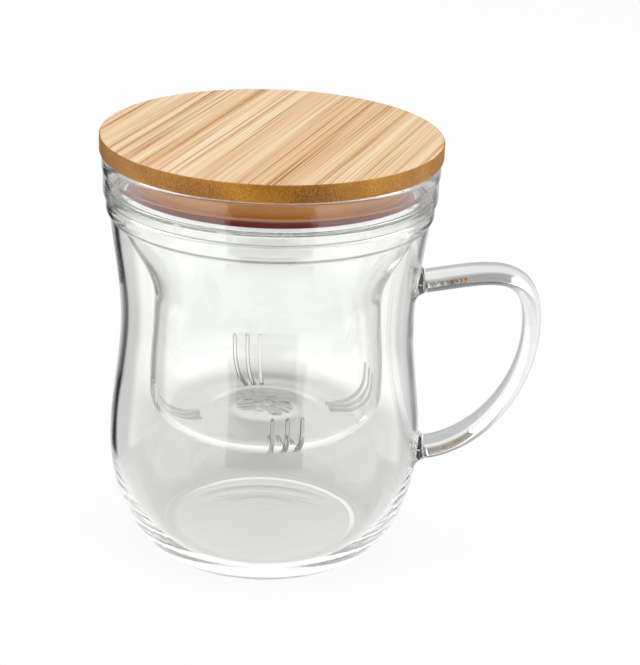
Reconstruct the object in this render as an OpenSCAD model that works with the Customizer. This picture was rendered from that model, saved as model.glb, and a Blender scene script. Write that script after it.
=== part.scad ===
// Lidded glass tea mug with a hanging glass infuser and a bamboo lid.
// Millimetres. +Z is up, the origin is the centre of the foot on the mug's axis,
// and the handle points along +X.

/* [Mug] */
// Height of the mug from the table to its rim
mug_h = 99; // [92:1:108]
// Thickness of the blown wall
mug_wall = 1.8; // [1.4:0.1:2.2]
// Thickness of the glass over the foot
mug_floor = 3; // [2.4:0.2:5]
// Outer radius of the neck, just under the rim band
neck_r = 42.2; // [41:0.1:44]
// Outward lean of the wall where it meets the rim band, in degrees
neck_lean = 6.3; // [2:0.1:9]
// How far the rim band stands proud of the neck
rim_proud = 0.9; // [0.4:0.1:1.2]
// Height of the rim band
rim_band_h = 4.6; // [3:0.2:7]
// Outer radius of the waist
waist_r = 39.3; // [38:0.1:40.5]
// Height of the waist
waist_z = 65; // [60:1:70]
// Outer radius of the belly
belly_r = 42.4; // [41:0.1:44]
// Height of the belly's widest ring
belly_z = 29; // [26:1:34]
// Fullness of the curve from the belly to the foot: 2 is an ellipse
belly_round = 1.8; // [1.7:0.05:2.2]
// Outer radius of the ring that the mug stands on
foot_r = 29.2; // [25:0.1:31]
// Width of that ring
foot_w = 2.6; // [1.6:0.2:4]
// Depth of the hollow under the foot
foot_hollow = 1.2; // [0.6:0.1:1.8]

/* [Handle] */
// Thickness of the handle's rod at its two welds
handle_t = 5.9; // [5:0.1:7]
// Thickness of the rod at the outermost bend, where it draws thin
handle_bend_t = 4.9; // [4.2:0.1:5.8]
// Width of the rod from side to side
handle_w = 9.6; // [8:0.2:12]
// Room for the fingers between the waist and the bend
finger_room = 29; // [25:0.5:34]
// Height of the upper weld's middle
handle_top_z = 75.9; // [73:0.1:80]
// Height of the lower weld's middle
handle_low_z = 27.3; // [24:0.1:31]
// Height of the outermost bend
handle_bend_z = 64.5; // [60:0.5:68]
// Upward tilt of the rod as it leaves the upper weld, in degrees
handle_rise = 11; // [5:1:16]
// Downward tilt of the rod as it comes into the lower weld, in degrees
handle_fall = 6; // [2:1:15]
// Pull of the curve along the upper run
top_pull = 20; // [17:0.5:24]
// Pull of the curve above the bend
corner_pull = 20.5; // [17:0.5:23]
// Pull of the curve below the bend
grip_pull = 16.8; // [12:0.1:20]
// Pull of the curve along the lower run
low_pull = 17.4; // [13:0.1:20]
// How much wider the rod spreads where it is welded on
weld_flare = 1.4; // [1.1:0.05:1.5]
// Length over which it spreads
weld_len = 4; // [2.5:0.5:6]

/* [Infuser] */
// Height of the collar that stands on the mug's rim
collar_h = 11; // [9.6:0.2:14]
// How far the collar stands proud of the rim band
collar_proud = 0.7; // [0.2:0.1:1.2]
// Thickness of the collar's wall
collar_wall = 2.2; // [1.8:0.1:2.6]
// How far the bead at the collar's top stands proud
bead_proud = 0.3; // [0.1:0.05:0.6]
// Height of that bead
bead_h = 4; // [2.5:0.5:5]
// Thickness of the glass that rests on the mug's rim
seat_t = 2.2; // [1.8:0.1:2.6]
// Radial room between the infuser's neck and the mug's mouth
mouth_gap = 0.4; // [0.25:0.05:0.8]
// Thickness of the infuser's wall
infuser_wall = 1.8; // [1.4:0.1:2.2]
// Depth of the infuser below the mug's rim
infuser_depth = 64; // [58:1:68]
// Length of its straight neck
infuser_neck = 1.5; // [1:0.25:4]
// Outer radius of its waist
infuser_waist_r = 30.4; // [29:0.1:32]
// Depth of that waist below the rim
infuser_waist_d = 28; // [25:0.5:33]
// Outer radius of its lower body
infuser_belly_r = 31.5; // [30:0.1:33.5]
// Depth of its lower body's widest ring below the rim
infuser_belly_d = 51; // [46:0.5:53]
// Radius of the rounded edge round its bottom
infuser_edge = 9; // [7:0.5:10]
// Height that its bottom is pushed up at the middle
push_up = 2.6; // [1:0.2:4]
// Radius of the pushed-up middle
push_up_r = 13; // [10:0.5:16]

/* [Slits] */
// Groups of slits round the infuser
slit_groups = 4; // [2:1:6]
// Slits in a group
slits_per_group = 3; // [1:1:4]
// Width of a slit
slit_w = 1; // [0.6:0.1:1.6]
// Angle from one slit of a group to the next
slit_pitch = 7.3; // [6:0.1:9]
// Turn of the first group from the handle
slit_turn = 15; // [0:1:45]
// Height of the slits above the infuser's bottom, outside
slit_rise = 12.75; // [9.25:0.5:19.75]
// Radius at which the slits end under the bottom
slit_end_r = 18; // [15:0.5:20]

/* [Lid] */
// How far the lid's edge stands out past the collar's bead
lid_proud = 0.6; // [0:0.1:2]
// Thickness of the lid's disc
lid_t = 5; // [4:0.25:8]
// Rounding of the disc's upper edge
lid_top_round = 0.5; // [0.3:0.1:1]
// Rounding of the disc's lower edge
lid_low_round = 1; // [0.5:0.1:1.5]
// Depth of the plug that goes down into the collar
plug_h = 8; // [6.5:0.25:8.6]
// Radial room between the plug and the collar's bore
plug_gap = 3.8; // [3:0.1:5]
// Rounding of the plug's lower edge
plug_round = 0.8; // [0.4:0.1:1.2]

/* [Seal] */
// Height of the silicone ring
seal_h = 4.4; // [3.6:0.1:4.8]
// Distance from the lid's disc down to the ring
seal_drop = 0.8; // [0.4:0.1:1]
// Depth of the groove that the ring sits in
seal_groove = 1.2; // [0.8:0.1:1.8]
// How far the ring's body stands out of the groove
seal_body_proud = 0.4; // [0.2:0.1:0.8]
// Number of lips
seal_lips = 2; // [1:1:3]
// Thickness of a lip
seal_lip_t = 0.8; // [0.6:0.05:0.9]
// Room between the lips and the collar's bore
seal_clear = 0.15; // [0.08:0.01:0.3]

/* [Hidden] */

$fn = 96;                 // all turned forms are true surfaces of revolution
curve_steps = 8;          // stations along each stretch of a turned outline
edge_steps = 4;           // stations round a small rounded edge
rim_r = neck_r + rim_proud;
neck_z = mug_h - rim_band_h;
mouth_r = neck_r - mug_wall;
rim_flat = 0.6;           // flat ring left on top of the rim and of the bead
rim_round = (rim_r - mouth_r - rim_flat) / 2;
foot_in_r = foot_r - foot_w;
well_r = foot_r - mug_wall;             // radius of the flat inside the mug

collar_r = rim_r + collar_proud;
bore_r = collar_r - collar_wall;
bead_r = collar_r + bead_proud;
collar_top = mug_h + collar_h;
bead_round = (bead_r - bore_r - rim_flat) / 2;
seat_edge = 0.9;                        // rounding of the collar's lower edge
infuser_neck_r = mouth_r - mouth_gap;
infuser_in_r = infuser_neck_r - infuser_wall;
infuser_bottom = mug_h - infuser_depth;
infuser_neck_z = mug_h - infuser_neck;
infuser_waist_z = mug_h - infuser_waist_d;
infuser_belly_z = mug_h - infuser_belly_d;

lid_r = bead_r + lid_proud;
lid_z = collar_top;
plug_r = bore_r - plug_gap;
seal_top = lid_z - seal_drop;
seal_low = seal_top - seal_h;
seal_in_r = plug_r - seal_groove;
seal_body_r = plug_r + seal_body_proud;
seal_lip_r = bore_r - seal_clear;

// Points on an arc round a centre, from angle a0 to angle a1
function arc(centre, r, a0, a1, steps) =
    [for (i = [0:steps]) let (a = a0 + (a1 - a0) * i / steps)
        centre + r * [cos(a), sin(a)]];

// Smooth step from a to b as t goes from 0 to 1, with the slope at b given
function sweep_to(a, b, t, slope_b = 0) =
    a + (b - a) * (3 * t^2 - 2 * t^3) + slope_b * (t^3 - t^2);

// Quarter of a rounded corner, from [r0, z0] below to [r1, z1] beside it
function corner(r0, z0, r1, z1, power, steps) =
    [for (i = [0:steps]) let (a = 90 * i / steps)
        [r0 + (r1 - r0) * sin(a)^(2 / power), z1 - (z1 - z0) * cos(a)^(2 / power)]];

// Outer radius of the mug at a height
function mug_r(z) =
    z < belly_z
        ? foot_r + (belly_r - foot_r)
            * (1 - ((belly_z - z) / belly_z)^belly_round)^(1 / belly_round)
    : z < waist_z
        ? sweep_to(belly_r, waist_r, (z - belly_z) / (waist_z - belly_z))
    : sweep_to(waist_r, neck_r, (z - waist_z) / (neck_z - waist_z),
        tan(neck_lean) * (neck_z - waist_z));

// Stations up the mug's wall, from the belly to the neck, moved in by an inset
function wall_stations(inset) = concat(
    [for (i = [1:curve_steps]) let (z = belly_z + (waist_z - belly_z) * i / curve_steps)
        [mug_r(z) - inset, z]],
    [for (i = [1:curve_steps]) let (z = waist_z + (neck_z - waist_z) * i / curve_steps)
        [mug_r(z) - inset, z]]);

function reversed(list) = [for (i = [len(list) - 1:-1:0]) list[i]];

// The mug's glass, outside from the foot up and inside down to the floor
module mug_body() {
    outside = concat(
        [[0, foot_hollow], [foot_in_r - foot_hollow, foot_hollow], [foot_in_r, 0]],
        corner(foot_r, 0, belly_r, belly_z, belly_round, curve_steps),
        wall_stations(0),
        [[rim_r, neck_z + rim_proud]]);
    rim = concat(
        arc([rim_r - rim_round, mug_h - rim_round], rim_round, 0, 90, edge_steps),
        arc([mouth_r + rim_round, mug_h - rim_round], rim_round, 90, 180, edge_steps));
    inside = concat(
        corner(well_r, mug_floor, belly_r - mug_wall, belly_z, belly_round, curve_steps),
        wall_stations(mug_wall));
    color([0.86, 0.9, 0.89, 0.45])
        rotate_extrude()
            polygon(concat(outside, rim, reversed(inside), [[0, mug_floor]]));
}

// Middle line of the handle in the XZ plane: two curves that meet at the bend
bend = [waist_r + finger_room + handle_bend_t / 2, handle_bend_z];
top_weld = [mug_r(handle_top_z) - mug_wall / 2, handle_top_z];
low_weld = [mug_r(handle_low_z) - mug_wall / 2, handle_low_z];
function bezier(p, t) =
    p[0] * (1 - t)^3 + 3 * p[1] * t * (1 - t)^2 + 3 * p[2] * t^2 * (1 - t) + p[3] * t^3;
upper_run = [top_weld, top_weld + top_pull * [cos(handle_rise), sin(handle_rise)],
    bend + [0, corner_pull], bend];
lower_run = [bend, bend - [0, grip_pull],
    low_weld + low_pull * [cos(handle_fall), sin(handle_fall)], low_weld];
function handle_mid(t) = t < 0.5 ? bezier(upper_run, 2 * t) : bezier(lower_run, 2 * t - 1);

handle_rings = 48;
handle_sides = 24;
// Rings crowd towards the welds, where the rod spreads
function ring_t(i) = 0.5 - 0.5 * cos(180 * i / handle_rings);
function ring_dir(i) =
    let (d = handle_mid(min(1, ring_t(i) + 0.001)) - handle_mid(max(0, ring_t(i) - 0.001)))
        d / norm(d);
function near_weld(i) =
    let (m = handle_mid(ring_t(i)), away = min(norm(m - top_weld), norm(m - low_weld)))
        max(0, 1 - away / weld_len);
// Half of the rod's thickness and of its width at a ring
function ring_half(i) =
    let (thin = sin(180 * ring_t(i))^2, flare = 1 + (weld_flare - 1) * near_weld(i)^2)
        [(handle_t + (handle_bend_t - handle_t) * thin) * flare, handle_w * flare] / 2;
function ring_point(i, j) =
    let (a = 360 * j / handle_sides, h = ring_half(i), m = handle_mid(ring_t(i)),
        d = ring_dir(i), across = h[0] * cos(a), y = h[1] * sin(a),
        x = m[0] - d[1] * across, z = m[1] + d[0] * across,
        r = mug_r(z) - mug_wall / 2)
        (i == 0 || i == handle_rings) ? [sqrt(r^2 - y^2), y, z] : [x, y, z];

// The handle: one oval rod of glass, its two ends sunk half-way into the wall
module mug_handle() {
    points = concat(
        [for (i = [0:handle_rings], j = [0:handle_sides - 1]) ring_point(i, j)],
        [[top_weld[0], 0, top_weld[1]], [low_weld[0], 0, low_weld[1]]]);
    top_mid = (handle_rings + 1) * handle_sides;
    last = handle_rings * handle_sides;
    faces = concat(
        [for (i = [0:handle_rings - 1], j = [0:handle_sides - 1])
            let (a = i * handle_sides + j, b = i * handle_sides + (j + 1) % handle_sides)
                [a, b, b + handle_sides]],
        [for (i = [0:handle_rings - 1], j = [0:handle_sides - 1])
            let (a = i * handle_sides + j, b = i * handle_sides + (j + 1) % handle_sides)
                [a, b + handle_sides, a + handle_sides]],
        [for (j = [0:handle_sides - 1]) [top_mid, (j + 1) % handle_sides, j]],
        [for (j = [0:handle_sides - 1])
            [top_mid + 1, last + j, last + (j + 1) % handle_sides]]);
    color([0.78, 0.82, 0.82, 0.6]) polyhedron(points, faces);
}

// The infuser's wall, from the bottom's middle out and up; inset moves it inwards
function infuser_side(inset) = concat(
    [for (i = [0:curve_steps]) let (t = i / curve_steps)
        [push_up_r * t, infuser_bottom + inset + push_up * (1 + cos(180 * t)) / 2]],
    arc([infuser_belly_r - infuser_edge, infuser_bottom + infuser_edge],
        infuser_edge - inset, -90, 0, curve_steps),
    [for (i = [0:curve_steps]) let (t = i / curve_steps)
        [sweep_to(infuser_belly_r, infuser_waist_r, t) - inset,
            infuser_belly_z + (infuser_waist_z - infuser_belly_z) * t]],
    [for (i = [1:curve_steps]) let (t = i / curve_steps)
        [sweep_to(infuser_waist_r, infuser_neck_r, t) - inset,
            infuser_waist_z + (infuser_neck_z - infuser_waist_z) * t]]);

// One slit: a thin cut in a plane through the axis, narrowed at its top
module slit() {
    low = infuser_bottom - 1;
    top = infuser_bottom + slit_rise;
    side = slit_w / 2;
    translate([slit_end_r, 0, 0]) rotate([90, 0, 90])
        linear_extrude(infuser_belly_r + 1 - slit_end_r)
            polygon([[-side, low], [side, low], [side, top - side], [side / 2, top],
                [-side / 2, top], [-side, top - side]]);
}

// The infuser: a collar that stands on the rim, and a cup with slits below it
module infuser() {
    seat_fillet = min(1.4, seat_t / 2 + 0.3);
    collar = concat(
        [[infuser_neck_r, mug_h]],
        arc([collar_r - seat_edge, mug_h + seat_edge], seat_edge, -90, 0, edge_steps),
        [[collar_r, collar_top - bead_h - bead_proud], [bead_r, collar_top - bead_h]],
        arc([bead_r - bead_round, collar_top - bead_round], bead_round, 0, 90, edge_steps),
        arc([bore_r + bead_round, collar_top - bead_round], bead_round, 90, 180, edge_steps));
    seat = concat(
        arc([bore_r - seat_fillet, mug_h + seat_t + seat_fillet], seat_fillet,
            0, -90, edge_steps),
        arc([infuser_in_r + seat_fillet, mug_h + seat_t - seat_fillet], seat_fillet,
            90, 180, edge_steps));
    color([0.84, 0.89, 0.87, 0.5])
        difference() {
            rotate_extrude()
                polygon(concat(infuser_side(0), collar, seat,
                    reversed(infuser_side(infuser_wall))));
            for (g = [0:slit_groups - 1], s = [0:slits_per_group - 1])
                rotate(slit_turn + 360 * g / slit_groups
                    + slit_pitch * (s - (slits_per_group - 1) / 2)) slit();
        }
}

// The lid's disc of bamboo, lying on the collar's bead
module lid_disc() {
    color([0.89, 0.76, 0.6])
        rotate_extrude()
            polygon(concat(
                [[0, lid_z]],
                arc([lid_r - lid_low_round, lid_z + lid_low_round], lid_low_round,
                    -90, 0, edge_steps),
                arc([lid_r - lid_top_round, lid_z + lid_t - lid_top_round], lid_top_round,
                    0, 90, edge_steps),
                [[0, lid_z + lid_t]]));
}

// The plug glued under the disc, with a groove for the silicone ring
module lid_plug() {
    color([0.62, 0.42, 0.2])
        rotate_extrude()
            polygon(concat(
                [[0, lid_z - plug_h]],
                arc([plug_r - plug_round, lid_z - plug_h + plug_round], plug_round,
                    -90, 0, edge_steps),
                [[plug_r, seal_low], [seal_in_r, seal_low], [seal_in_r, seal_top],
                    [plug_r, seal_top], [plug_r, lid_z], [0, lid_z]]));
}

// The silicone ring: a band in the groove, with thin lips that meet the bore
module lid_seal() {
    lip_pitch = (seal_h - seal_lip_t) / max(1, seal_lips - 1);
    first_lip = seal_lips == 1 ? (seal_h - seal_lip_t) / 2 : 0;
    lips = [for (i = [0:seal_lips - 1])
        let (z = seal_low + first_lip + i * lip_pitch, tip = seal_lip_t / 4)
            each [[seal_body_r, z], [seal_lip_r, z + tip],
                [seal_lip_r, z + seal_lip_t - tip], [seal_body_r, z + seal_lip_t]]];
    color([0.86, 0.8, 0.72, 0.8])
        rotate_extrude()
            polygon(concat([[seal_in_r, seal_low]], lips, [[seal_in_r, seal_top]]));
}

mug_body();
mug_handle();
infuser();
lid_disc();
lid_plug();
lid_seal();
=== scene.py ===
# %% [markdown]
# # A lidded glass tea mug with an infuser
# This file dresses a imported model. The model comes first, as a fixed frame in metres: a mug
# with a loop handle, an infuser that hangs in it, and a bamboo lid. Every piece made below
# takes the place of one or two of its solids and rides on the same body, so that the infuser
# and the lid still lift.

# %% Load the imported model
import math
import bmesh
import bpy
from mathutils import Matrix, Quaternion, Vector, noise


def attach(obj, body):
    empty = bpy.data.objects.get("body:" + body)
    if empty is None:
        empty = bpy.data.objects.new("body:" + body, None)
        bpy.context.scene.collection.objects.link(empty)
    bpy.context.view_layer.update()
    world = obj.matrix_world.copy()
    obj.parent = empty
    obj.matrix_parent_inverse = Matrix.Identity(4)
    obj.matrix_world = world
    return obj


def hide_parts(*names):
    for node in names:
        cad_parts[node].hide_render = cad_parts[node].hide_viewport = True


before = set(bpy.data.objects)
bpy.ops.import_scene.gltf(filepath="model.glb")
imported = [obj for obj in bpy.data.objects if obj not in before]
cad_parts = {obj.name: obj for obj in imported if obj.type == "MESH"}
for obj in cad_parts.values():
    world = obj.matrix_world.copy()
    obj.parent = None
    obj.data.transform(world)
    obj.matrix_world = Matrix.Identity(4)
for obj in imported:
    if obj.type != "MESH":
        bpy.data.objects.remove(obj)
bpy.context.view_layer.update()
MM = 0.001

# %% [markdown]
# ## Camera
# The photograph was taken from in front and above with a long lens. Its place was worked out
# from the ellipses of the lid, the collar and the foot. The lens is written for a frame of
# 640 by 665, whose long side is the sensor's 36 mm. A small roll comes last, about the line
# of sight.

# %% Camera
EYE = Vector((31.39, -448.9, 243.56)) * MM
AIM = Vector((14.235, 0.995, 59.52)) * MM
ROLL = 0.0392
camera = bpy.data.objects.new("camera", bpy.data.cameras.new("camera"))
bpy.context.scene.collection.objects.link(camera)
camera.location = EYE
camera.rotation_mode = "QUATERNION"
camera.rotation_quaternion = (AIM - EYE).to_track_quat("-Z", "Y") @ Quaternion((0, 0, 1), ROLL)
camera.data.sensor_width = 36
camera.data.lens = 97.28
camera.data.clip_start, camera.data.clip_end = 0.01, 20
bpy.context.scene.camera = camera
print("camera", round((EYE - AIM).length, 3), "m from what it looks at")

# %% [markdown]
# ## Turning a form
# Blown and turned things are surfaces of revolution. Half of the section is drawn as a line of
# radii and heights, and bmesh's spin carries it once round the upright axis. A full spin has
# its last column merged with its first, and the points on the axis are merged too, so the
# skin is closed.

# %% Spin an outline
COLUMNS = 192


def arc(centre, r, start, end, steps):
    """Points on an arc in the section, angles in degrees."""
    turns = [math.radians(start + (end - start) * i / steps) for i in range(steps + 1)]
    return [(centre[0] + r * math.cos(a), centre[1] + r * math.sin(a)) for a in turns]


def turned(outline, closed=False):
    """A bmesh of the outline, in mm, spun round the upright axis."""
    mesh = bmesh.new()
    ring = [mesh.verts.new((r * MM, 0, z * MM)) for r, z in outline]
    pairs = list(zip(ring, ring[1:])) + ([(ring[-1], ring[0])] if closed else [])
    edges = [mesh.edges.new(pair) for pair in pairs]
    bmesh.ops.spin(mesh, geom=ring + edges, cent=(0, 0, 0), axis=(0, 0, 1), dvec=(0, 0, 0),
                   angle=math.tau, steps=COLUMNS, use_merge=True, use_duplicate=False)
    bmesh.ops.remove_doubles(mesh, verts=mesh.verts, dist=1e-7)
    bmesh.ops.recalc_face_normals(mesh, faces=mesh.faces)
    if mesh.calc_volume(signed=True) < 0:
        bmesh.ops.reverse_faces(mesh, faces=mesh.faces)
    return mesh


# %% Make a piece
def piece(name, mesh, body, nodes):
    """An object of the bmesh that rides on a body and stands for some nodes."""
    open_edges = sum(not edge.is_manifold for edge in mesh.edges)
    for face in mesh.faces:
        face.smooth = True
    data = bpy.data.meshes.new(name)
    mesh.to_mesh(data)
    mesh.free()
    made = bpy.data.objects.new(name, data)
    bpy.context.scene.collection.objects.link(made)
    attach(made, body)
    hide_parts(*nodes)
    print(name, len(data.polygons), "faces,", open_edges, "open edges")
    return made


# %% [markdown]
# ## Mug
# The mug is one blown shell, 1.8 mm thick: a foot ring, a belly, a waist, and a rim band that
# stands out a little. The same few radii and heights as in the solid give its outline, with
# closer rows. Rows up the wall are spaced so that one passes through the middle of each weld
# of the handle.

# %% The mug's outline
MUG_H, WALL, FLOOR = 99, 1.8, 3
NECK_R, NECK_Z, WAIST_R, WAIST_Z = 42.2, 94.4, 39.3, 65
BELLY_R, BELLY_Z, BELLY_POWER = 42.4, 29, 1.8
FOOT_R, WELL_R = 29.2, 27.4
HOLLOW_R, HOLLOW_H, HOLLOW_POWER = 27.6, 1.2, 1.6       # the pushed-up part under the foot
RIPPLES_R, RIPPLES_H = 22, 0.07                         # faint rings that blowing leaves inside
NECK_LEAN = 6.3                                         # degrees outwards
RIM_R, RIM_ROUND, MOUTH_R = 43.1, 1.05, 40.4
TOP_WELD_Z, LOW_WELD_Z = 75.9, 27.3
ROW = (TOP_WELD_Z - LOW_WELD_Z) / 44


def sweep_to(a, b, t, slope=0.0):
    """Smooth step from a to b, with the slope at b given."""
    return a + (b - a) * (3 * t**2 - 2 * t**3) + slope * (t**3 - t**2)


def mug_r(z):
    """Outer radius of the mug at a height."""
    if z < BELLY_Z:
        up = 1 - ((BELLY_Z - z) / BELLY_Z) ** BELLY_POWER
        return FOOT_R + (BELLY_R - FOOT_R) * up ** (1 / BELLY_POWER)
    if z < WAIST_Z:
        return sweep_to(BELLY_R, WAIST_R, (z - BELLY_Z) / (WAIST_Z - BELLY_Z))
    lean = math.tan(math.radians(NECK_LEAN)) * (NECK_Z - WAIST_Z)
    return sweep_to(WAIST_R, NECK_R, (z - WAIST_Z) / (NECK_Z - WAIST_Z), lean)


def corner(r0, z0, r1, z1, power, steps):
    """Quarter of a rounded corner, from (r0, z0) below to (r1, z1) beside it."""
    turns = [math.pi / 2 * i / steps for i in range(steps + 1)]
    return [(r0 + (r1 - r0) * math.sin(a) ** (2 / power),
             z1 - (z1 - z0) * max(0.0, math.cos(a)) ** (2 / power)) for a in turns]


first_row = LOW_WELD_Z - 8 * ROW
heights = [z for r, z in corner(FOOT_R, 0, BELLY_R, BELLY_Z, BELLY_POWER, 40)
           if z < first_row - ROW / 2]
heights += [first_row + i * ROW for i in range(69) if first_row + i * ROW < NECK_Z - 0.3]
hollow = [(r, HOLLOW_H / 2 * (1 + math.cos(math.pi * (r / HOLLOW_R) ** HOLLOW_POWER)))
          for r in (1.38 * i for i in range(21))]
outside = hollow + [(28.4, 0)] + [(mug_r(z), z) for z in heights]
rim = [(NECK_R, NECK_Z), (42.42, 94.55), (42.75, 94.85), (42.98, 95.1), (RIM_R, 95.4),
       (RIM_R, 96.6)]
rim += arc((RIM_R - RIM_ROUND, MUG_H - RIM_ROUND), RIM_ROUND, 0, 90, 8)
rim += arc((MOUTH_R + RIM_ROUND, MUG_H - RIM_ROUND), RIM_ROUND, 90, 180, 8)
inside = [(mug_r(NECK_Z - i * 1.2) - WALL, NECK_Z - i * 1.2) for i in range(54)]
inside += [(r, z) for r, z in reversed(corner(WELL_R, FLOOR, BELLY_R - WALL, BELLY_Z,
                                              BELLY_POWER, 40))]
inside += [(r, FLOOR + RIPPLES_H * math.cos(r * 1.5) * (1 - r / RIPPLES_R)) for r in
           (RIPPLES_R - i * 0.8 for i in range(27))]
mug = turned(outside + rim + inside + [(0, FLOOR + RIPPLES_H)])
print("mug outline", len(outside + rim + inside), "points, rows", round(ROW, 3), "mm apart")

# %% [markdown]
# ## Handle
# The handle is a drawn rod of glass whose ends are fused to the wall. Two closed shells pushed
# into each other would show the wall inside the weld, because light would bend there as if
# there were air. So the rod and the mug are one skin: a patch of the outer wall is opened at
# each weld, the cells around it are eased into an oval, and the edge of the opening is
# extruded along the rod until it meets the other opening.

# %% Open the wall at the welds
HALF = 4                        # an opening is 8 cells by 8
SPREAD = 5                      # rows around it that are eased
PAD = (6.7, 4.5)                # half of the oval's width and height
GROW = (0.20, 0.24)             # how much larger each ring of cells round it is laid


def cell_of(vert, weld_z):
    """Column and row of a point on the outer wall, counted from a weld."""
    x, y, z = vert.co / MM
    if abs(math.hypot(x, y) - mug_r(z)) > 0.2 or x < 0:
        return None
    return (math.atan2(y, x) * COLUMNS / math.tau, (z - weld_z) / ROW)


def open_wall(mesh, weld_z):
    """Cuts an oval opening and returns its edge, one point for each 32nd of a turn."""
    cells = {}
    for vert in mesh.verts:
        place = cell_of(vert, weld_z)
        if place and max(map(abs, place)) < HALF + SPREAD + 0.4:
            cells[vert] = (round(place[0]), round(place[1]))
    gone = [f for f in mesh.faces if all(v in cells for v in f.verts)
            and all(max(map(abs, cells[v])) <= HALF for v in f.verts)]
    edge = {}
    for vert, (i, j) in cells.items():
        far = max(abs(i), abs(j))
        if far < HALF:
            continue
        along = (j if i == far else 2 * far - i if j == far
                 else 4 * far - j if i == -far else 6 * far + i) % (8 * far)
        turn = math.tau * along / (8 * far)
        ease = min(1.0, (far - HALF) / SPREAD)
        ease = ease * ease * (3 - 2 * ease)
        oval = (PAD[0] * (1 + GROW[0] * (far - HALF)) * math.cos(turn),
                PAD[1] * (1 + GROW[1] * (far - HALF)) * math.sin(turn))
        flat = (i * math.tau / COLUMNS * mug_r(weld_z + j * ROW), j * ROW)
        side, up = (o + (f - o) * ease for o, f in zip(oval, flat))
        r = mug_r(weld_z + up)
        vert.co = Vector((r * math.cos(side / r), r * math.sin(side / r), weld_z + up)) * MM
        if far == HALF:
            edge[along] = vert
    bmesh.ops.delete(mesh, geom=gone, context="FACES")
    return [edge[k] for k in range(8 * HALF)]


top_edge = open_wall(mug, TOP_WELD_Z)
low_edge = open_wall(mug, LOW_WELD_Z)
print("openings of", len(top_edge), "and", len(low_edge), "points")

# %% The rod's middle line
THICK, BEND_THICK, WIDE = 5.9, 4.9, 9.6
FINGER_GAP, BEND_Z = 29, 64.5
bend = Vector((WAIST_R + FINGER_GAP + BEND_THICK / 2, BEND_Z))
top_weld = Vector((mug_r(TOP_WELD_Z) - WALL / 2, TOP_WELD_Z))
low_weld = Vector((mug_r(LOW_WELD_Z) - WALL / 2, LOW_WELD_Z))


def leaning(length, degrees):
    """A step in the XZ plane, outwards and leaning upwards."""
    return Vector((math.cos(math.radians(degrees)), math.sin(math.radians(degrees)))) * length


# Two curves, each with its two ends and the points that pull it
runs = [(top_weld, top_weld + leaning(20, 11), bend + Vector((0, 20.5)), bend),
        (bend, bend - Vector((0, 16.8)), low_weld + leaning(17.4, 6), low_weld)]


FLARE, FLARE_RUN = 0.4, 4               # wider near the wall, and over what length
FILLET, FILLET_RUN = 0.9, 1.8           # the blend into the wall
HUG_RUN = 4.5                           # the section follows the wall's curve so far out


def rod_mid(t):
    """A point of the middle line in the XZ plane, t from 0 at the top to 1."""
    a, b, c, d = runs[0] if t < 0.5 else runs[1]
    s = 2 * t if t < 0.5 else 2 * t - 1
    return a * (1 - s)**3 + 3 * b * s * (1 - s)**2 + 3 * c * s * s * (1 - s) + d * s**3


def rod_ring(t):
    """The 32 points of the rod's oval section at t, opened out near the wall."""
    mid = rod_mid(t)
    ahead = (rod_mid(min(1, t + 0.002)) - rod_mid(max(0, t - 0.002))).normalized()
    weld = top_weld if t < 0.5 else low_weld
    out = max(0.0, (mid - weld).length - WALL / 2)          # distance from the outer wall
    flare = 1 + FLARE * max(0.0, 1 - (out + WALL / 2) / FLARE_RUN) ** 2
    fillet = FILLET * max(0.0, 1 - out / FILLET_RUN) ** 2.4
    thin = math.sin(math.pi * t) ** 2
    high = (THICK + (BEND_THICK - THICK) * thin) * flare / 2 + fillet
    wide = WIDE * flare / 2 + fillet
    hug = max(0.0, 1 - out / HUG_RUN)
    hug = hug * hug * (3 - 2 * hug)
    points = []
    for k in range(32):
        turn = math.tau * k / 32
        up = high * math.sin(turn)
        x, z = mid.x - ahead.y * up, mid.y + ahead.x * up
        y = wide * math.cos(turn)
        r = mug_r(min(z, NECK_Z)) + out
        onto = math.sqrt(r * r - y * y)
        points.append(Vector((x + (onto - x) * hug, y, z)) * MM)
    return points


print("rod reaches", round(bend.x + BEND_THICK / 2, 2), "mm")

# %% Extrude the opening along the rod
def onward(mesh, ring, places):
    """Extrudes a ring of points and puts the new ones at the places given."""
    edges = [mesh.edges.get((a, b)) for a, b in zip(ring, ring[1:] + ring[:1])]
    grown = bmesh.ops.extrude_edge_only(mesh, edges=edges)["geom"]
    fresh = {v for v in grown if isinstance(v, bmesh.types.BMVert)}
    following = [next(e.other_vert(v) for e in v.link_edges if e.other_vert(v) in fresh)
                 for v in ring]
    for vert, place in zip(following, places):
        vert.co = place
    return following


def rod_steps(gap):
    """Values of t a given length apart along the rod, closer near the wall."""
    fine = [i / 4000 for i in range(4001)]
    run, table = 0.0, [(0.0, 0.0)]
    for a, b in zip(fine, fine[1:]):
        run += (rod_mid(b) - rod_mid(a)).length
        table.append((run, b))
    near = [0.95 + d for d in (0.22, 0.5, 0.85, 1.3, 1.9, 2.7, 3.7)]
    first = 4.7                                             # of the even steps
    even_run = run - 2 * first
    count = round(even_run / gap)
    wanted = near + [first + even_run * i / count for i in range(count + 1)]
    wanted += [run - d for d in reversed(near)]
    return [next(t for at, t in table if at >= want) for want in wanted]


# The first point of each edge lies at the handle's +Y side, as in rod_ring
ring = top_edge
steps = rod_steps(1.1)
for t in steps:
    ring = onward(mug, ring, rod_ring(t))
last = [mug.edges.get((a, b)) for a, b in zip(ring, ring[1:] + ring[:1])]
last += [mug.edges.get((a, b)) for a, b in zip(low_edge, low_edge[1:] + low_edge[:1])]
bmesh.ops.bridge_loops(mug, edges=last)
bmesh.ops.recalc_face_normals(mug, faces=mug.faces)
print("rod of", len(steps), "rings, volume", round(mug.calc_volume(signed=True) * 1e6, 2), "ml")

# %% The mug and its handle
mug_glass = piece("mug_glass", mug, "mug", ["mug_body", "mug_handle"])

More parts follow.
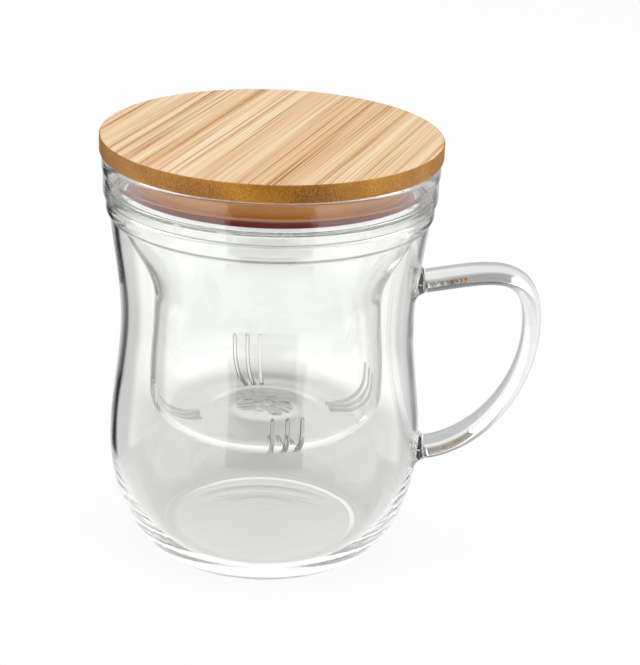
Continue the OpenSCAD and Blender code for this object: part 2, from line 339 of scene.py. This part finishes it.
# %% [markdown]
# ## Infuser
# The infuser is a second blown cup. Its thick collar stands on the mug's rim. Its bottom is
# pushed up in the middle, thick there like a lens, and rough where the glass was pulled off.
# Twelve slits were sawn into the lower edge, in four groups of three. The cup is turned like
# the mug, and then each slit is cut by planes through both skins. The faces between the planes
# go, and the two openings are bridged through the glass.

# %% The infuser's outline
BOTTOM, COLLAR_TOP = 35, 110
CUP_BELLY_R, CUP_BELLY_Z, CUP_WAIST_R, CUP_WAIST_Z = 31.5, 48, 30.4, 71
CUP_NECK_R, CUP_NECK_Z, EDGE_R = 40.0, 97.5, 9
COLLAR_R, BORE_R, BEAD_R, BEAD_ROUND = 43.8, 41.6, 44.1, 0.95


def cup_side(inset):
    """Outline from the bottom's middle out and up; inset moves it inwards."""
    # the inner skin's dome is narrower and higher, so the glass is thick in the middle
    dome_r, dome_h = 18 - 1.4 * inset, 2.2 + 0.55 * inset
    dome = [(dome_r * t, BOTTOM + inset + dome_h * (1 + math.cos(math.pi * t)) / 2)
            for t in (i / 24 for i in range(25))]
    flat = [(dome_r + (CUP_BELLY_R - EDGE_R - dome_r) * i / 4, BOTTOM + inset)
            for i in range(1, 5)]
    edge = arc((CUP_BELLY_R - EDGE_R, BOTTOM + EDGE_R), EDGE_R - inset, -90, 0, 18)
    side = [(CUP_BELLY_R - inset, 46)]
    side += [(sweep_to(CUP_BELLY_R, CUP_WAIST_R, t) - inset,
              CUP_BELLY_Z + (CUP_WAIST_Z - CUP_BELLY_Z) * t) for t in (i / 16 for i in range(17))]
    side += [(sweep_to(CUP_WAIST_R, CUP_NECK_R, t) - inset,
              CUP_WAIST_Z + (CUP_NECK_Z - CUP_WAIST_Z) * t) for t in (i / 20 for i in range(1, 21))]
    return dome + flat + edge + side


collar = [(CUP_NECK_R, 98.75), (CUP_NECK_R + 0.25, MUG_H), (41.5, MUG_H)]
collar += arc((COLLAR_R - 0.9, MUG_H + 0.9), 0.9, -90, 0, 8)
collar += [(COLLAR_R, 102.5), (COLLAR_R, 105.5), (43.9, 105.75), (44.05, 106), (BEAD_R, 106.4),
           (BEAD_R, 107.8)]
collar += arc((BEAD_R - BEAD_ROUND, COLLAR_TOP - BEAD_ROUND), BEAD_ROUND, 0, 90, 8)
collar += arc((BORE_R + BEAD_ROUND, COLLAR_TOP - BEAD_ROUND), BEAD_ROUND, 90, 180, 8)
collar += [(BORE_R, 106.5), (BORE_R, 104.5)]
seat = arc((BORE_R - 1.4, 102.6), 1.4, 0, -90, 10)
seat += arc((CUP_NECK_R - WALL + 1.4, 99.8), 1.4, 90, 180, 10)
cup = turned(cup_side(0) + collar + seat + cup_side(WALL)[::-1])
print("infuser", len(cup.faces), "faces before its slits are cut")

# %% Cut the slits
SLIT_W, SLIT_END_R, SLIT_TOP = 1.0, 18, 47.75
FIRST_GROUP, SLIT_PITCH = 15, 7.3       # in degrees from the handle, and from slit to slit


def cut_slit(mesh, degrees):
    """One slit, in a plane through the axis."""
    along = Vector((math.cos(math.radians(degrees)), math.sin(math.radians(degrees)), 0))
    across = Vector((-along.y, along.x, 0))
    patch = []                                          # what the planes may cut
    for face in mesh.faces:
        at = face.calc_center_median() / MM
        if abs(at.dot(across)) < 2.2 and at.dot(along) > 16.5 and at.z < 50:
            patch.append(face)
    patch += list({e for f in patch for e in f.edges} | {v for f in patch for v in f.verts})
    # planes at the slit's two sides, its end under the cup, its top, and just below the top
    top = Vector((0, 0, SLIT_TOP))
    for point, normal in ((across * SLIT_W / 2, across), (-across * SLIT_W / 2, across),
                          (along * SLIT_END_R, along), (top, top), (top * 0.985, top)):
        patch = bmesh.ops.bisect_plane(mesh, geom=patch, dist=1e-8, plane_co=point * MM,
                                       plane_no=normal.normalized())["geom"]
    gone = []
    for face in patch:
        if isinstance(face, bmesh.types.BMFace):
            at = face.calc_center_median() / MM
            between = abs(at.dot(across)) < SLIT_W / 2
            if between and at.dot(along) > SLIT_END_R and at.z < SLIT_TOP:
                gone.append(face)
    bmesh.ops.delete(mesh, geom=gone, context="FACES")
    lips = [e for e in mesh.edges if e.is_boundary]
    for vert in {v for e in lips for v in e.verts}:     # the cut narrows at its upper end
        if vert.co.z > (SLIT_TOP - 0.05) * MM:
            vert.co -= across * vert.co.dot(across) * 0.5
    for edge in lips:
        edge.smooth = False
    for face in bmesh.ops.bridge_loops(mesh, edges=lips)["faces"]:
        face.material_index = 1


for group in range(4):
    for slit in (-1, 0, 1):
        cut_slit(cup, FIRST_GROUP + 90 * group + SLIT_PITCH * slit)
print("infuser", len(cup.faces), "faces with its slits")

# %% The rough spot under the middle, and the finished infuser
SPOT_HALF, SPOT_H = (7, 5), 1.7
for vert in cup.verts:
    x, y, z = vert.co / MM
    rough = 1 - math.hypot(x / SPOT_HALF[0], y / SPOT_HALF[1])
    if rough > 0 and z < BOTTOM + 3:
        vert.co.z += SPOT_H * rough ** 0.5 * noise.noise(Vector((0.3 * x, 0.65 * y, 3))) * MM
bmesh.ops.recalc_face_normals(cup, faces=cup.faces)
cup_glass = piece("infuser_glass", cup, "infuser", ["infuser"])

# %% [markdown]
# ## Lid
# The lid is a disc of glued bamboo strips with a turned plug under it. A silicone ring sits in a
# groove round the plug, and its two thin lips wipe the collar's bore. All three are turned,
# with the small rounded edges that sanding and moulding leave.

# %% The disc, the plug and the seal
LID_R, LID_Z, LID_T = 44.7, 110, 5
disc = [(0, LID_Z), (37, LID_Z)] + arc((LID_R - 1, LID_Z + 1), 1, -90, 0, 8)
disc += [(LID_R, LID_Z + 2.7)] + arc((LID_R - 0.6, LID_Z + LID_T - 0.6), 0.6, 0, 90, 8)
disc += [(42, LID_Z + LID_T), (30, LID_Z + LID_T), (0, LID_Z + LID_T)]
lid_disc = piece("lid_bamboo_disc", turned(disc), "lid", ["lid_disc"])

PLUG_R, PLUG_LOW, PLUG_ROUND = 37.8, 102, 0.8
SEAL_LOW, SEAL_TOP, SEAL_IN_R = 104.8, 109.2, 36.6
plug = [(0, PLUG_LOW), (30, PLUG_LOW)]
plug += arc((PLUG_R - PLUG_ROUND, PLUG_LOW + PLUG_ROUND), PLUG_ROUND, -90, 0, 8)
plug += [(PLUG_R, 104.6), (PLUG_R - 0.2, SEAL_LOW), (SEAL_IN_R, SEAL_LOW), (SEAL_IN_R, SEAL_TOP),
         (PLUG_R - 0.1, SEAL_TOP), (PLUG_R, SEAL_TOP + 0.1), (PLUG_R, LID_Z), (0, LID_Z)]
lid_plug = piece("lid_bamboo_plug", turned(plug), "lid", ["lid_plug"])

SEAL_R, LIP_R = 38.2, 41.45
seal = [(SEAL_IN_R + 0.03, SEAL_LOW + 0.03), (SEAL_R, SEAL_LOW + 0.03)]
for low in (SEAL_LOW + 0.03, SEAL_TOP - 0.83):
    seal += [(SEAL_R, low + 0.02), (40, low + 0.1)] + arc((LIP_R - 0.2, low + 0.4), 0.2, -90, 90, 6)
    seal += [(40, low + 0.7), (SEAL_R + 0.2, low + 0.76), (SEAL_R, low + 0.8)]
seal += [(SEAL_IN_R + 0.03, SEAL_TOP - 0.03)]
lid_seal = piece("lid_silicone_seal", turned(seal, closed=True), "lid", ["lid_seal"])

# %% [markdown]
# ## Shader expressions
# A finish is easier to read as sums than as a picture of wires. The small class below holds one
# output of a node. Adding or multiplying it makes the Math node that does the sum, also when
# the plain number stands first, as in 1 - mask.

# %% A class for shader sums
class Value:
    """One node output in a finish; arithmetic on it adds Math nodes."""

    def __init__(self, finish, socket):
        self.finish, self.socket = finish, socket

    def sum(self, operation, a, b=None):
        return self.finish.node("ShaderNodeMath", {"operation": operation},
                                {i: v for i, v in enumerate((a, b)) if v is not None})

    def __add__(self, other):
        return self.sum("ADD", self, other)

    def __mul__(self, other):
        return self.sum("MULTIPLY", self, other)

    def __sub__(self, other):
        return self.sum("SUBTRACT", self, other)

    def __rsub__(self, other):
        return self.sum("SUBTRACT", other, self)

    def __truediv__(self, other):
        return self.sum("DIVIDE", self, other)

    def __pow__(self, other):
        return self.sum("POWER", self, other)

    __radd__, __rmul__ = __add__, __mul__

    def step(self, low, high):
        """0 below low, 1 above high, smooth between."""
        return self.finish.node("ShaderNodeMapRange", {"interpolation_type": "SMOOTHSTEP"},
                                {"Value": self, "From Min": low, "From Max": high})


# %% A class for finishes
class Finish:
    """A material or world whose nodes are made by one method."""

    def __init__(self, block):
        block.use_nodes = True
        self.block, self.tree = block, block.node_tree
        self.tree.nodes.clear()

    def node(self, kind, settings=None, sockets=None, out=0):
        """Adds a node: its settings first, then the values or links of its sockets."""
        made = self.tree.nodes.new(kind)
        for name, value in (settings or {}).items():
            if name == "stops":
                ramp = made.color_ramp.elements
                while len(ramp) < len(value):
                    ramp.new(0.5)
                for stop, (at, colour) in zip(ramp, value):
                    stop.position, stop.color = at, colour
            else:
                setattr(made, name, value)
        for name, value in (sockets or {}).items():
            if isinstance(value, Value):
                self.tree.links.new(made.inputs[name], value.socket)
            else:
                made.inputs[name].default_value = value
        return Value(self, made.outputs[out])

    def mix(self, factor, a, b):
        """Colours a and b mixed."""
        return self.node("ShaderNodeMix", {"data_type": "RGBA"}, {0: factor, 6: a, 7: b}, out=2)

    def output(self, surface):
        """Links the finished shader to the block's output node."""
        kind = "World" if isinstance(self.block, bpy.types.World) else "Material"
        made = self.tree.nodes.new("ShaderNodeOutput" + kind)
        self.tree.links.new(made.inputs["Surface"], surface.socket)
        return self.block

    def split(self, vector):
        """The three numbers of a vector."""
        made = self.tree.nodes.new("ShaderNodeSeparateXYZ")
        self.tree.links.new(made.inputs[0], vector.socket)
        return [Value(self, made.outputs[i]) for i in range(3)]

    def join(self, x, y, z):
        """A vector of three numbers."""
        return self.node("ShaderNodeCombineXYZ", {}, {0: x, 1: y, 2: z})


def srgb(r, g, b):
    """A colour as painters name it, 0 to 255, in the linear values that shaders take."""
    return tuple((c / 255 / 12.92) if c < 10.3 else ((c / 255 + 0.055) / 1.055) ** 2.4
                 for c in (r, g, b)) + (1.0,)


print("a mid grey of 128 is", round(srgb(128, 128, 128)[0], 3), "in linear light")

# %% [markdown]
# ## Glass
# Clear glass bends light, reflects it a little and tints it slightly green where the path is
# long. Blown glass is never quite even, so a faint slow bump makes what shows through it sway.

# %% Glass
def glass(name, tint):
    finish = Finish(bpy.data.materials.new(name))
    place = finish.node("ShaderNodeTexCoord", out=3)
    swell = finish.node("ShaderNodeTexNoise", {}, {"Vector": place, "Scale": 38.0, "Detail": 1.0})
    bump = finish.node("ShaderNodeBump", {}, {"Height": swell, "Strength": 0.25,
                                              "Distance": 0.0006})
    surface = finish.node("ShaderNodeBsdfPrincipled", {}, {
        "Base Color": tint, "Roughness": 0.0, "IOR": 1.47, "Transmission Weight": 1.0,
        "Normal": bump})
    return finish.output(surface)


mug_glass.data.materials.append(glass("mug_glass", (0.98, 0.985, 0.972, 1)))
cup_glass.data.materials.append(glass("infuser_glass", (0.985, 0.99, 0.978, 1)))
print("glass finishes:", [o.data.materials[0].name for o in (mug_glass, cup_glass)])

# %% [markdown]
# ## Sawn glass
# A saw leaves the faces of a slit matt, so they scatter light and look pale where the blown
# skin beside them is clear. They are the infuser's second material. Its IOR is close to 1,
# because with the glass's own the faces turn light back from inside and look black.

# %% Sawn glass
def sawn_glass():
    finish = Finish(bpy.data.materials.new("sawn_glass"))
    place = finish.node("ShaderNodeTexCoord", out=3)
    grit = finish.node("ShaderNodeTexNoise", {}, {"Vector": place, "Scale": 2500.0, "Detail": 2.0})
    surface = finish.node("ShaderNodeBsdfPrincipled", {}, {
        "Base Color": (0.97, 0.97, 0.95, 1), "Roughness": grit * 0.3 + 0.35, "IOR": 1.04,
        "Transmission Weight": 0.3,
        "Normal": finish.node("ShaderNodeBump", {}, {"Height": grit, "Distance": 0.00004})})
    return finish.output(surface)


cup_glass.data.materials.append(sawn_glass())
print("sawn faces:", sum(face.material_index == 1 for face in cup_glass.data.polygons))

# %% [markdown]
# ## Bamboo
# The lid is glued up from bamboo strips. Bamboo has no rings. Its stem is full of thin straight
# fibre bundles, which show as fine lines along the grain and as dots on cut ends. One solid
# texture gives both: noise that changes fast across the strips and hardly at all along them.
# The turned edges show cut ends, and below the seal the plug's edge has painted shade in dark
# red-brown.

# %% Bamboo
GRAIN = 74              # the grain's direction on the lid, in degrees from +X
STRIP_W, SWAY = 5.2, 14 # the strips' usual width in mm, and how unequal they are


def bamboo(name, end_tones, edge_r, painted_shade=None):
    """Bamboo grain in the lid's plane; beyond edge_r, in mm, the turned edge's cut ends."""
    finish = Finish(bpy.data.materials.new(name))
    place = finish.node("ShaderNodeTexCoord", out=3)
    laid = finish.node("ShaderNodeMapping", {}, {
        "Vector": place, "Rotation": (0, 0, math.radians(-GRAIN)), "Scale": (1000, 1000, 1000)})
    x, y, _ = finish.split(place)
    along, across, up = finish.split(laid)

    def streaks(stretch, fine, detail, seed):
        """Noise long along the grain and fine across it; number shifts it in each strip."""
        where = finish.join(along / stretch + number * 7.3 + seed, across * fine, up * fine)
        return finish.node("ShaderNodeTexNoise", {}, {"Vector": where, "Scale": 1.0,
                                                      "Detail": detail, "Roughness": 0.62})

    # the strips and a tone for each
    sway = finish.node("ShaderNodeTexNoise", {"noise_dimensions": "1D"},
                       {"W": across * 0.16 + 3.1, "Scale": 1.0, "Detail": 1.0})
    strip = (across + sway * SWAY) / STRIP_W
    number = strip.sum("FLOOR", strip)
    tone = finish.node("ShaderNodeTexWhiteNoise", {"noise_dimensions": "1D"}, {"W": number})
    # fibres: slow bands, dark lines and hair lines, and here and there a pinkish strip
    bands = streaks(240, 0.6, 2.0, 0)
    lines = streaks(150, 1.7, 2.0, 11)
    hairs = streaks(70, 2.7, 1.5, 23)
    pink = streaks(90, 0.2, 0.0, 41)
    light = bands * 0.36 + tone * 0.2 + hairs * 0.72 - 0.14
    colour = finish.node("ShaderNodeValToRGB", {"stops": [
        (0.26, TOP[0]), (0.42, TOP[1]), (0.55, TOP[2]), (0.74, TOP[3])]}, {0: light})
    colour = finish.mix(pink.step(0.5, 0.75) * 0.35, colour, PINKISH)
    dark = (1 - lines.step(0.37, 0.46)) * (0.45 + 0.5 * hairs.step(0.3, 0.6))
    seam = 1 - (strip - number).step(0.0, 0.07)
    colour = finish.mix(dark + seam * 0.3, colour, FIBRE)
    # the turned edge
    radius = (x * x + y * y) ** 0.5 * 1000
    edge = radius.step(edge_r, edge_r + 0.4)
    dots = finish.node("ShaderNodeTexNoise", {}, {"Vector": laid, "Scale": 2.2, "Detail": 2.0,
                                                  "Roughness": 0.7})
    drift = finish.node("ShaderNodeTexNoise", {}, {"Vector": laid, "Scale": 0.06, "Detail": 1.0})
    ends = finish.node("ShaderNodeValToRGB", {"stops": [
        (0.30, end_tones[0]), (0.50, end_tones[1]), (0.72, end_tones[2])]},
        {0: dots * 0.6 + drift * 0.6 - 0.1})
    colour = finish.mix(edge, colour, ends)
    # painted shade: below the seal the plug's edge turns dark red-brown, as if in shadow
    if painted_shade:
        colour = finish.mix((1 - up.step(SEAL_LOW - 0.5, SEAL_LOW + 0.1)) * edge, colour, painted_shade)
    height = dots * edge * 0.6 - dark * 0.6 - seam * 0.4
    surface = finish.node("ShaderNodeBsdfPrincipled", {}, {
        "Base Color": colour, "Roughness": 0.42 + dark * 0.15, "IOR": 1.45,
        "Normal": finish.node("ShaderNodeBump", {}, {"Height": height, "Strength": 0.4,
                                                     "Distance": 0.0001})})
    return finish.output(surface)


TOP = [srgb(206, 160, 108), srgb(222, 184, 138), srgb(235, 207, 168), srgb(248, 228, 196)]
# the last of these is painted shade, for the plug's edge below the seal
FIBRE, PINKISH, PAINTED_PLUG_SHADE = srgb(164, 108, 46), srgb(224, 182, 146), srgb(118, 24, 4)
EDGE = [srgb(94, 54, 0), srgb(154, 99, 4), srgb(190, 138, 36)]
# painted light: the plug's end grain is lighter than the disc's, to make up for the dim light it
# gets behind the glass
PLUG_EDGE_PAINTED_LIGHT = [srgb(206, 124, 22), srgb(228, 146, 36), srgb(238, 168, 64)]
lid_disc.data.materials.append(bamboo("bamboo_disc", EDGE, 44.2))
lid_plug.data.materials.append(bamboo("bamboo_plug", PLUG_EDGE_PAINTED_LIGHT, 35.5, PAINTED_PLUG_SHADE))
print("bamboo grain runs", GRAIN, "degrees from +X")

# %% [markdown]
# ## Silicone
# The seal is clear food-grade silicone. The bamboo behind it shows through, a little veiled.

# %% Silicone
VEIL, VEIL_MORE = 0.04, 0.08            # how much the seal hides, and what its haze adds


def silicone():
    finish = Finish(bpy.data.materials.new("silicone"))
    place = finish.node("ShaderNodeTexCoord", out=3)
    haze = finish.node("ShaderNodeTexNoise", {}, {"Vector": place, "Scale": 400.0, "Detail": 2.0})
    surface = finish.node("ShaderNodeBsdfPrincipled", {}, {
        "Base Color": (0.88, 0.74, 0.54, 1), "Roughness": haze * 0.2 + 0.35, "IOR": 1.2,
        "Alpha": haze * VEIL_MORE + VEIL})
    return finish.output(surface)


lid_seal.data.materials.append(silicone())
print("the seal hides between", VEIL, "and", round(VEIL + VEIL_MORE, 2), "of what is behind it")

# %% [markdown]
# ## Levels round the mug
# Clear glass has no look of its own: it shows what stands around it. The Light Path node tells
# what a ray has been through, so the floor and the world can be white for the camera, even for
# the light that falls on matt surfaces, and a studio of greys for the rays that pass through
# the glass or are reflected in it. Directions are degrees round the table, and a mask from 0
# to 1 lays one level over another.

# %% Helpers for the levels
BACK = 94           # the direction that the camera looks in, in degrees from +X
FRONT = BACK + 180.5


def off_from(turn, centre):
    """How far a direction round the table is off a centre, in degrees."""
    off = turn.finish.node("ShaderNodeMath", {"operation": "WRAP"},
                           {0: turn - centre, 1: 180, 2: -180})
    return off.sum("ABSOLUTE", off)


def facing(turn, centre, half, soft):
    """1 where a direction round the table is within half of a centre, in degrees."""
    return 1 - off_from(turn, centre).step(half - soft, half + soft)


def over(under, level, where):
    """The level laid over what is there, where the mask is 1."""
    return under * (1 - where) + level * where


def ray_kinds(finish):
    """Masks: seen by the camera itself, lighting a matt surface, reflected, through glass."""
    rays = finish.tree.nodes.new("ShaderNodeLightPath")
    camera, diffuse, glossy, through = (Value(finish, rays.outputs[name]) for name in (
        "Is Camera Ray", "Diffuse Depth", "Glossy Depth", "Is Transmission Ray"))
    return camera, diffuse.step(0.4, 0.6), glossy.step(0.4, 0.6), through


print("the camera looks towards", BACK, "degrees")

# %% [markdown]
# ## Floor
# The floor is plain and pale, and the camera sees it white with the mug's shadow on it. Rays
# through the glass find painted levels on it: a mid grey painted shadow round the mug, paler
# inside the foot, a painted thin line of light that the foot gathers, and a painted bright stretch
# behind. For reflected rays the table ends near the mug, and they go on through it to the studio.

# %% Floor
floor_mesh = bmesh.new()
bmesh.ops.create_grid(floor_mesh, x_segments=2, y_segments=2, size=3)
floor_data = bpy.data.meshes.new("floor")
floor_mesh.to_mesh(floor_data)
floor_mesh.free()
floor = bpy.data.objects.new("floor", floor_data)
bpy.context.scene.collection.objects.link(floor)
print("floor", round(floor.dimensions.x, 1), "m wide")

# %% The floor's finish
# for rays through the glass: SHADE is the mug's painted shadow, and IN_FOOT, GATHERED and the
# stretch are painted light
SHADE, IN_FOOT, GATHERED = 0.57, 0.13, 0.4              # round the mug, and added to it
STRETCH, STRETCH_NEAR = 0.86, 0.1                       # behind the mug, and added close by
MIRROR_NEAR, MIRROR_FAR, MIRROR_FRONT = 0.8, 0.7, 1.4   # the same table in reflections

table = Finish(bpy.data.materials.new("pale_table"))
camera_ray, diffuse_ray, reflected, through_ray = ray_kinds(table)
x, y, _ = table.split(table.node("ShaderNodeTexCoord", out=3))
far = (x * x + y * y) ** 0.5                            # metres from the mug's axis
turn = x.sum("ARCTAN2", y, x) * (180 / math.pi)
front = 1 - y.step(-0.05, 0.03)
foot_line = far.step(0.0252, 0.0258) * (1 - far.step(0.0266, 0.0272))
foot_line = foot_line * facing(turn, BACK - 30, 75, 30)
level = SHADE + IN_FOOT * (1 - far.step(0.024, 0.027)) + GATHERED * foot_line
bright = facing(turn, BACK - 5, 30, 8) * far.step(0.085, 0.115) * (1 - far.step(0.3, 1.0))
level = over(level, STRETCH + STRETCH_NEAR * (1 - far.step(0.13, 0.155)), bright)
mirrored = over(over(MIRROR_NEAR, MIRROR_FAR, far.step(0.05, 0.08)), MIRROR_FRONT, front)
level = over(level, mirrored, reflected)
left = facing(turn, BACK + 45, 30, 8)
table_end = (far - 0.08 * front + 0.02 * left).step(0.085, 0.105) * reflected

plain = table.node("ShaderNodeBsdfDiffuse", {}, {"Color": (0.9, 0.9, 0.9, 1)})
white = table.node("ShaderNodeEmission", {}, {"Color": (1, 1, 1, 1), "Strength": 1.0})
grey = table.node("ShaderNodeEmission", {}, {"Color": (1, 1, 1, 1), "Strength": level})
clear = table.node("ShaderNodeBsdfTransparent")
seen = table.node("ShaderNodeMixShader", {}, {0: camera_ray * 0.9, 1: plain, 2: white})
bent = table.node("ShaderNodeMixShader", {}, {0: table_end, 1: grey, 2: clear})
glass_ray = through_ray.sum("MAXIMUM", through_ray, reflected)
in_glass = (1 - camera_ray) * (1 - diffuse_ray) * glass_ray
floor.data.materials.append(
    table.output(table.node("ShaderNodeMixShader", {}, {0: in_glass, 1: seen, 2: bent})))
print("table through the glass:", SHADE, "round the mug,", STRETCH, "and more behind it")

# %% [markdown]
# ## Studio
# The world stands in for the studio. The camera sees plain white, and matt surfaces are lit
# evenly, more so behind glass, which the lamps' light can't pass. Through the glass, the
# backdrop is a mid grey that darkens upwards. In reflections there are two long softboxes
# beside the camera with the dark camera between them, and a black and a grey card behind the
# mug, which give clear glass its dark outline.

# %% World
HORIZON, BACKDROP, HIGH, CEILING = 0.55, 0.36, 0.14, 0.3        # through the glass, going up
ROOM, UNDER_TABLE = 0.42, 0.62                                  # in reflections
BLACK_CARD, GREY_CARD, SOFTBOXES, CAMERA_GAP = 0.02, 0.25, 1.7, 0.05
EVEN, BEHIND_GLASS = 0.6, 1.3                                   # on matt surfaces, and added

world = bpy.data.worlds.new("studio")
bpy.context.scene.world = world
studio = Finish(world)
camera_ray, diffuse_ray, reflected, through_ray = ray_kinds(studio)
x, y, z = studio.split(studio.node("ShaderNodeTexCoord", out=0))
turn = x.sum("ARCTAN2", y, x) * (180 / math.pi)         # degrees round the table
rise = z.sum("ARCSINE", z) * (180 / math.pi)            # degrees above the table
level = over(HORIZON, BACKDROP, rise.step(-1, 6))
level = over(level, HIGH, rise.step(10, 22))
level = over(level, CEILING, rise.step(60, 75))
card_height = 1 - rise.step(20, 30)
softbox_height = 1 - rise.step(45, 60)
gap = 1 - (off_from(turn, FRONT) - (24.2 - 0.28 * rise)).step(-1, 1)    # narrower upwards
mirrored = over(ROOM, UNDER_TABLE, 1 - rise.step(-8, 0))
mirrored = over(mirrored, BLACK_CARD, facing(turn, BACK + 29, 8, 3) * card_height)
mirrored = over(mirrored, GREY_CARD, facing(turn, BACK - 27, 6, 2) * card_height)
mirrored = over(mirrored, SOFTBOXES, facing(turn, BACK + 180, 118, 5) * softbox_height)
mirrored = over(mirrored, CAMERA_GAP, gap * softbox_height)
level = over(level, mirrored, reflected)
level = over(level, EVEN + BEHIND_GLASS * through_ray, diffuse_ray)
level = over(level, 1.0, camera_ray)
studio.output(studio.node("ShaderNodeBackground", {}, {"Color": (1, 1, 1, 1), "Strength": level}))
print("studio greys in reflections:", BLACK_CARD, "to", SOFTBOXES)

# %% [markdown]
# ## Lamps
# Three area lamps light the bamboo and draw the soft shadow: one on each side in front, and one
# above. The glass doesn't show them, because its reflections come from the studio's levels.

# %% Lamps
def softbox(name, place, size, power):
    """An area lamp that looks at the mug's middle, in metres and watts."""
    lamp = bpy.data.lights.new(name, "AREA")
    lamp.shape, lamp.size, lamp.size_y, lamp.energy = "RECTANGLE", size[0], size[1], power
    made = bpy.data.objects.new(name, lamp)
    bpy.context.scene.collection.objects.link(made)
    made.location = place
    made.rotation_mode = "QUATERNION"
    made.rotation_quaternion = (Vector((0, 0, 0.06)) - Vector(place)).to_track_quat("-Z", "Y")
    made.visible_camera = made.visible_glossy = made.visible_transmission = False
    print(name, power, "W")


softbox("left_softbox", (-0.8, -0.5, 0.55), (0.5, 0.7), 4.2)
softbox("right_softbox", (0.8, -0.5, 0.55), (0.5, 0.7), 4.2)
softbox("top_softbox", (0, 0.15, 1.0), (0.6, 0.6), 2.6)

# %% [markdown]
# ## Settings
# Standard shows colours as they are written. Light can be reflected dozens of times inside a
# thick glass wall before it leaves. A ray that is cut off early ends black, so the bounce counts
# are raised.

# %% Settings
bpy.context.scene.view_settings.view_transform = "Standard"
paths = bpy.context.scene.cycles
paths.max_bounces, paths.glossy_bounces, paths.transmission_bounces = 64, 48, 64
